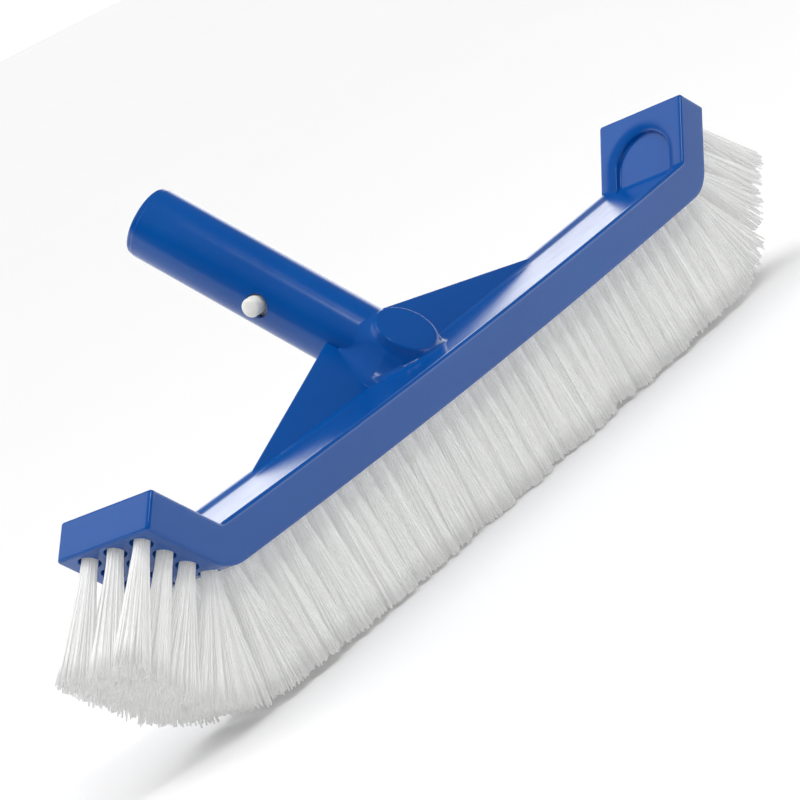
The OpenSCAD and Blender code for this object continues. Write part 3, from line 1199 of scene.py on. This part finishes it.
@dataclass
class SnapClip:
    """The clip inside the spigot: a bent strip with two sprung arms and their buttons.

    Attributes:
        handle: The handle that it sits in, for places along the spigot.
        button_radius: Radius of a button.
        button_out: Reach of a button past the spigot's wall.
        button_edge: Radius of a button's rounded rim.
        strip_width: Width of the strip.
        strip_thick: Thickness of the strip.
        strip_round: Radius of the strip's long edges.
        pivot_reach: Distance from the buttons to the place where an arm flexes.
        pivot_half: Distance of that place from the spigot's axis.
        gap: Gap between the bend and an arm.
        seat: Distance from the axis to an arm's outer face.
        tail: Length of an arm past its button.
        shoulder: Distance above the button where an arm meets the wall.
    """

    handle: Handle
    button_radius: float = 3.8
    button_out: float = 4.0
    button_edge: float = 1.5
    strip_width: float = 10.0
    strip_thick: float = 1.6
    strip_round: float = 0.45
    pivot_reach: float = 28.0
    pivot_half: float = 3.0
    gap: float = 0.4
    seat: float = 10.4
    tail: float = 6.5
    shoulder: float = 6.0

    def strip(self, line: Array) -> MeshParts:
        """Carries a flat strip's section, with rounded edges, along a line in the clip's plane.

        Args:
            line: Points of X and level above the buttons along the strip's middle.

        Returns:
            The strip's closed skin.
        """
        along = np.gradient(line, axis=0)
        along /= np.linalg.norm(along, axis=1, keepdims=True)
        side = np.stack([along[:, 1], -along[:, 0]], 1)
        angle = np.linspace(0.0, np.pi / 2.0, 5)
        arc = np.stack([np.cos(angle), np.sin(angle)], 1) * self.strip_round
        half = np.array([self.strip_thick, self.strip_width]) / 2.0 - self.strip_round
        signs = [(1, 1), (-1, 1), (-1, -1), (1, -1)]
        ring = np.vstack([
            (arc if a * b > 0 else arc[::-1]) * [a, b] + half * [a, b] for a, b in signs
        ])
        flat = line[:, None, :] + side[:, None, :] * ring[None, :, :1]
        level = flat[..., 1] + self.handle.sizes.button_level
        grid = self.handle.spot(flat[..., 0], level, np.broadcast_to(ring[None, :, 1], level.shape))
        parts = MeshParts()
        parts.add_bar(grid)
        return parts

    def build_bend(self) -> bpy.types.Mesh:
        """Builds the fixed bend: a half circle from one pivot to the other."""
        angle = np.linspace(0.0, np.pi, 25)
        foot = self.pivot_reach + self.strip_thick / 2.0 + self.gap
        line = np.stack([self.pivot_half * np.cos(angle), foot + self.pivot_half * np.sin(angle)], 1)
        return self.strip(line).mesh("clip_bend_strip")

    def build_arm(self, side: float, name: str) -> bpy.types.Mesh:
        """Builds an arm, which leans out to the wall and runs along it, and its rounded button.

        Args:
            side: 1 for the right arm and -1 for the left.
            name: Name of the piece.

        Returns:
            The arm's mesh.
        """
        middle = self.seat - self.strip_thick / 2.0
        top = self.pivot_reach + self.strip_thick / 2.0
        lean, straight = np.linspace(top, self.shoulder, 16), np.linspace(self.shoulder - 1.5, -self.tail, 8)
        level = np.concatenate([lean, straight])
        share = smooth_step(self.pivot_reach - level, 0.0, self.pivot_reach - self.shoulder + 1.0)
        line = np.stack([side * (self.pivot_half + (middle - self.pivot_half) * share), level], 1)
        parts = self.strip(line)
        tip, edge, wide = self.handle.radius + self.button_out, self.button_edge, self.button_radius
        dome = np.linspace(0.0, 1.0, 7)[1:] * np.pi / 2.0
        neck = tip - edge - 0.25
        radii = np.concatenate([[0.0, wide, wide], wide - edge * (1.0 - np.cos(dome)), [1.2, 0.0]])
        reach = np.concatenate([[middle, middle, neck], neck + edge * np.sin(dome), [tip - 0.04, tip]])
        angle = np.linspace(0.0, 2.0 * np.pi, 41)
        level = radii[:, None] * np.cos(angle) + self.handle.sizes.button_level
        out = side * reach[:, None] * np.ones_like(level)
        parts.add_grid(self.handle.spot(out, level, radii[:, None] * np.sin(angle)))
        return parts.mesh(name)


# ---- Bristles ----


@dataclass(frozen=True)
class Zone:
    """A run of tufts in a half row that makes one piece."""

    name: str
    first: int
    last: int


@dataclass
class BristleField:
    """Every tuft of the brush, as bundles of loose strands.

    Attributes:
        sizes: Sizes shared with the head.
        strands: Strands in a tuft.
        length: Length of a strand outside the head.
        root: Radius of a tuft where it leaves its well.
        tip: Radius of a tuft at its tips.
        fan: Share of the gap between two tufts' tips that a tuft's tips reach across.
        strand: Radius of a strand.
        sink: Length of a strand inside its well.
        stations: Rings of points along a strand.
        seed: Seed of the random draws.
        zones: Runs of tufts that each make one piece.
    """

    sizes: HeadSizes
    strands: int = 160
    length: float = 45.0
    root: float = 2.45
    tip: float = 6.1
    fan: float = 0.64
    strand: float = 0.36
    sink: float = 4.5
    stations: int = 7
    seed: int = 5
    zones: tuple[Zone, ...] = (
        Zone("inner", 0, 7),
        Zone("outer", 8, 15),
        Zone("shoulder", 16, 17),
        Zone("wing", 18, 20),
    )

    def tuft_frames(self, columns: Array, row: int, side: float) -> tuple[Array, Array]:
        """Where tufts leave the head, and which way they point.

        Args:
            columns: Columns counted from the middle.
            row: Row, 0 at the front.
            side: 1 for the right half and -1 for the left.

        Returns:
            Feet, and directions out of the head, in the part's frame.
        """
        s = self.sizes
        run = (columns + 0.5) * s.tuft_pitch
        x, z = s.bottom.place(run)
        lean = s.bottom.lean(run)
        feet = np.stack([side * x, np.full_like(x, (row - 1) * s.row_pitch), z], 1) + s.origin
        out = np.stack([side * np.sin(lean), np.zeros_like(lean), -np.cos(lean)], 1)
        return feet, out

    def build(self, row: int, side: float, zone: Zone, name: str) -> bpy.types.Mesh:
        """Builds the tufts of one zone.

        A strand starts at a place in its tuft's round root and ends at the same place in the wider
        oval of tips, which reaches across the gap to the next tuft where the head bends. It bows
        out by a power of its length, with a small wave of its own, and its section is a triangle.

        Args:
            row: Row, 0 at the front.
            side: 1 for the right half and -1 for the left.
            zone: The run of tufts.
            name: Name of the piece.

        Returns:
            The strands as one mesh, with a tint for each.
        """
        rng = np.random.default_rng([self.seed, row, int(side > 0), zone.first])
        columns = np.arange(zone.first, zone.last + 1)
        feet, out = self.tuft_frames(columns, row, side)
        tufts, n = len(columns), self.strands
        out = out + rng.normal(0.0, 0.018, out.shape)
        out /= np.linalg.norm(out, axis=1, keepdims=True)
        across = np.cross(out, [0.0, 1.0, 0.0])
        across /= np.linalg.norm(across, axis=1, keepdims=True)
        deep = np.cross(out, across)

        radius = np.sqrt(rng.uniform(0.0, 1.0, (tufts, n)))
        angle = rng.uniform(0.0, 2.0 * np.pi, (tufts, n))
        spread = np.stack([radius * np.cos(angle), radius * np.sin(angle)], -1)
        run = (columns + 0.5) * self.sizes.tuft_pitch
        line, half = self.sizes.bottom, self.sizes.tuft_pitch / 2.0
        gap = 2.0 * half + self.length * (line.lean(run + half) - line.lean(run - half))
        wide = np.maximum(self.tip, self.fan * gap) * rng.uniform(0.94, 1.04, tufts)
        tip = np.stack([wide, self.tip * rng.uniform(0.94, 1.04, tufts)], 1)
        drift = rng.normal(0.0, 0.28, (tufts, n, 2))
        uneven = rng.normal(0.0, 0.012, (tufts, 1)) + rng.normal(0.0, 0.012, (tufts, n))
        length = self.length * np.minimum(1.0 + uneven, 1.012)
        share = np.linspace(0.0, 1.0, self.stations)
        run = -self.sink + (length[..., None] + self.sink) * share
        free = np.clip(run / self.length, 0.0, 1.1)[..., None]
        wave = rng.normal(0.0, 0.22, (tufts, n, 1, 2)) * np.sin(np.pi * free)
        base = spread[:, :, None, :] * self.root
        end = spread[:, :, None, :] * tip[:, None, None, :] + drift[:, :, None, :]
        flat = base + (end - base) * free**1.15 + wave
        middle = (
            feet[:, None, None, :]
            + run[..., None] * out[:, None, None, :]
            + flat[..., :1] * across[:, None, None, :]
            + flat[..., 1:] * deep[:, None, None, :]
        )
        corner = np.arange(3) * 2.0 * np.pi / 3.0
        twist = rng.uniform(0.0, 2.0 * np.pi, (tufts, n, 1, 1)) + corner
        ring = (
            np.cos(twist)[..., None] * across[:, None, None, None, :]
            + np.sin(twist)[..., None] * deep[:, None, None, None, :]
        )
        points = middle[:, :, :, None, :] + self.strand * ring
        count = tufts * n
        starts = np.arange(count)[:, None, None] * self.stations * 3
        sides = (grid_faces(self.stations, 3, wrap=True)[None] + starts).reshape(-1, 4)
        caps = np.array([[2, 1, 0], [0, 1, 2]]) + np.array([[0], [(self.stations - 1) * 3]])
        caps = (caps[None] + starts).reshape(-1, 3)
        mesh = bpy.data.meshes.new(name)
        mesh.from_pydata((points.reshape(-1, 3) * MM).tolist(), [], sides.tolist() + caps.tolist())
        tint = np.clip(rng.normal(0.75, 0.2, count), 0.0, 1.0)
        attribute = mesh.attributes.new(Filament.tint_name, "FLOAT", "POINT")
        attribute.data.foreach_set("value", np.repeat(tint, self.stations * 3).astype(np.float32))
        return mesh


# ---- Studio ----


@dataclass
class Studio:
    """The pale floor, the soft lights and the camera.

    Attributes:
        sizes: Sizes shared with the head, for its origin.
        floor_gap: Distance from the lowest tip down to the floor, in millimetres.
        floor_half: Half side of the floor, in millimetres.
        lens: Focal length for a 36 mm sensor.
        camera_place: Where the camera stands in the head's frame, in millimetres.
        azimuth: Angle of the camera round the head, from the front, in degrees.
        elevation: Angle of the camera over the level, in degrees.
        roll: Turn of the camera about its own axis, in degrees.
        key_place: Where the key hangs, in metres.
        key_power: Strength of the key.
        key_angle: Width of the key in the sky, in degrees.
        window_places: Where the two bright softboxes hang, in metres.
        window_size: Sides of a softbox, in metres.
        window_power: Power of a softbox.
        band: Heights of view directions over which the bright horizon fades into the haze.
        horizon: Strength of the bright horizon.
        haze: Strength of the haze over it.
        dark: Share of both on the dark side.
        bright_side: Direction of the bright side.
        cloud: Direction of the soft cloud.
        cloud_span: Cosines to that direction over which the cloud grows.
        cloud_power: Strength of the cloud.
    """

    sizes: HeadSizes
    floor_gap: float = 0.4
    floor_half: float = 12000.0
    lens: float = 161.06
    camera_place: tuple[float, float, float] = (-1044.67, -788.79, 182.68)
    azimuth: float = -52.038
    elevation: float = 8.543
    roll: float = -27.512
    key_place: tuple[float, float, float] = (-0.55, -0.10, 1.75)
    key_power: float = 2.6
    key_angle: float = 75.0
    window_places: tuple[tuple[float, float, float], ...] = ((-0.30, -0.93, 1.14), (0.03, -0.99, 1.12))
    window_size: tuple[float, float] = (0.16, 0.20)
    window_power: float = 1.8
    band: tuple[float, float] = (0.20, 0.44)
    horizon: float = 2.0
    haze: float = 0.13
    dark: float = 0.06
    bright_side: tuple[float, float, float] = (0.79, 0.61, 0.0)
    cloud: tuple[float, float, float] = (-0.14, 0.62, 0.77)
    cloud_span: tuple[float, float] = (0.90, 0.985)
    cloud_power: float = 1.0

    def build_floor(self, lowest: float) -> None:
        """Lays a wide floor that touches the lowest bristle tips, and marks it as stage.

        Args:
            lowest: Height of the object's lowest point, in metres.
        """
        side = np.linspace(-self.floor_half, self.floor_half, 25)
        x, y = np.meshgrid(side, side, indexing="ij")
        parts = MeshParts()
        parts.add_grid(np.stack([x, y, np.full_like(x, lowest / MM - self.floor_gap)], -1))
        floor = shown(parts.mesh("floor"), PalePaper().material(), None)
        if floor.data.polygons[0].normal.z < 0:
            floor.data.flip_normals()
        floor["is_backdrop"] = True

    def hang(self, name: str, lamp: bpy.types.Light, place: Sequence[float], mirrored: bool) -> None:
        """Hangs a light so that it faces the object.

        Args:
            name: Name of the light.
            lamp: The light itself.
            place: Where it hangs, in metres.
            mirrored: Whether glossy surfaces show it.
        """
        stand = bpy.data.objects.new(name, lamp)
        stand.location = place
        stand.rotation_euler = (-Vector(place)).to_track_quat("-Z", "Y").to_euler()
        stand.visible_glossy = mirrored
        bpy.context.scene.collection.objects.link(stand)

    def build_lights(self) -> None:
        """Hangs a wide soft key overhead and two small bright softboxes, and builds the surround."""
        key = bpy.data.lights.new("soft_key", "SUN")
        key.energy, key.angle = self.key_power, float(np.radians(self.key_angle))
        self.hang("soft_key", key, self.key_place, False)
        for number, place in enumerate(self.window_places):
            window = bpy.data.lights.new(f"window_softbox_{number}", "AREA")
            window.shape, window.energy = "RECTANGLE", self.window_power
            window.size, window.size_y = self.window_size
            self.hang(window.name, window, place, True)
        self.build_surround()

    def build_surround(self) -> None:
        """Builds the world: a bright horizon on one side, a dim haze over it and a large soft cloud.

        Each part is a smooth step of the view direction's height or of its cosine to an axis.
        """
        world = bpy.data.worlds.new("soft_surround")
        bpy.context.scene.world = world
        world.use_nodes = True
        tree = world.node_tree
        place = tree.nodes.new("ShaderNodeTexCoord").outputs["Generated"]

        def cosine(axis: Sequence[float]) -> bpy.types.NodeSocket:
            """The cosine of the view direction to an axis, as their dot product."""
            node = tree.nodes.new("ShaderNodeVectorMath")
            node.operation = "DOT_PRODUCT"
            tree.links.new(place, node.inputs[0])
            node.inputs[1].default_value = axis
            return node.outputs["Value"]

        def step(
            value: bpy.types.NodeSocket, span: tuple[float, float], low: float, high: float
        ) -> bpy.types.NodeSocket:
            """A smooth step from low to high while the value crosses the span."""
            node = tree.nodes.new("ShaderNodeMapRange")
            node.interpolation_type = "SMOOTHSTEP"
            tree.links.new(value, node.inputs["Value"])
            for name, setting in zip(("From Min", "From Max", "To Min", "To Max"), (*span, low, high)):
                node.inputs[name].default_value = setting
            return node.outputs["Result"]

        def combine(
            kind: str, first: bpy.types.NodeSocket, second: bpy.types.NodeSocket
        ) -> bpy.types.NodeSocket:
            """Two values added or multiplied."""
            node = tree.nodes.new("ShaderNodeMath")
            node.operation = kind
            tree.links.new(first, node.inputs[0])
            tree.links.new(second, node.inputs[1])
            return node.outputs[0]

        band = step(cosine((0.0, 0.0, 1.0)), self.band, self.horizon, self.haze)
        side = step(cosine(self.bright_side), (-0.4, 0.1), self.dark, 1.0)
        cloud = step(cosine(self.cloud), self.cloud_span, 0.0, self.cloud_power)
        total = combine("ADD", combine("MULTIPLY", band, side), cloud)
        tree.links.new(total, tree.nodes["Background"].inputs["Strength"])
        tree.nodes["Background"].inputs["Color"].default_value = (1.0, 1.0, 1.0, 1.0)

    def build_camera(self) -> None:
        """Places the camera from its azimuth, elevation and roll.

        The camera's back points out along the azimuth and elevation. Its right and up start level
        and turn about the back by the roll.
        """
        a, e, r = np.radians([self.azimuth, self.elevation, self.roll])
        back = np.array([np.sin(a) * np.cos(e), -np.cos(a) * np.cos(e), np.sin(e)])
        level = np.cross([0.0, 0.0, 1.0], back)
        level /= np.linalg.norm(level)
        upright = np.cross(back, level)
        right = np.cos(r) * level + np.sin(r) * upright
        up = np.cross(back, right)
        matrix = np.eye(4)
        matrix[:3, 0], matrix[:3, 1], matrix[:3, 2] = right, up, back
        matrix[:3, 3] = (np.array(self.camera_place) + self.sizes.origin) * MM
        data = bpy.data.cameras.new("camera")
        data.lens, data.sensor_width, data.clip_start, data.clip_end = self.lens, 36.0, 0.05, 60.0
        camera = bpy.data.objects.new("camera", data)
        camera.matrix_world = Matrix(matrix.tolist())
        bpy.context.scene.collection.objects.link(camera)
        bpy.context.scene.camera = camera


# ---- The whole brush ----


ROWS = ("front", "middle", "back")
SIDES = {"left": -1.0, "right": 1.0}


def dress_body(sizes: HeadSizes, handle: Handle) -> None:
    """Builds the blue moulding's four parts and puts them on the root body."""
    blue = MouldedPlastic().material()
    makers = [
        (MouldedHead(sizes).build, 35.0),
        (handle.build_spigot, 40.0),
        (handle.build_hub, None),
        (handle.build_gusset, 40.0),
    ]
    for build, sharp in makers:
        settle(shown(build(), blue, sharp), Body.ROOT, ["brush_body"])


def dress_clip(handle: Handle) -> None:
    """Builds the clip's bend and arms, each on its own body."""
    white = SatinPlastic().material()
    clip = SnapClip(handle)
    settle(shown(clip.build_bend(), white), Body.ROOT, ["clip_bend"])
    for side, body in (("left", Body.LEFT_BUTTON), ("right", Body.RIGHT_BUTTON)):
        arm = shown(clip.build_arm(SIDES[side], f"clip_{side}_button"), white, 50.0)
        settle(arm, body, [f"clip_arm_{side}"])


def dress_bristles(sizes: HeadSizes) -> None:
    """Builds a bundle of strands for each zone of tufts, and gives the staples their metal."""
    milky = Filament().material()
    bristles = BristleField(sizes)
    steel = StapleWire().material()
    for row, row_name in enumerate(ROWS):
        for side_name, side in SIDES.items():
            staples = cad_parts[f"staples_{row_name}_{side_name}"]
            staples.data.materials.clear()
            staples.data.materials.append(steel)
            for zone in bristles.zones:
                tail = f"{row_name}_{side_name}_{zone.name}"
                mesh = bristles.build(row, side, zone, f"strands_{tail}")
                settle(shown(mesh, milky, None), Body.ROOT, [f"tufts_{tail}"])


def main() -> None:
    """Builds the brush piece by piece, then its studio."""
    logging.basicConfig(level=logging.INFO, format="%(name)s: %(message)s")
    sizes = HeadSizes()
    handle = Handle(sizes)
    dress_body(sizes, handle)
    dress_clip(handle)
    dress_bristles(sizes)
    bpy.context.view_layer.update()
    low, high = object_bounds()
    studio = Studio(sizes)
    studio.build_floor(low.z)
    studio.build_lights()
    studio.build_camera()
    bpy.context.scene.view_settings.view_transform = "Standard"


if __name__ == "__main__":
    main()
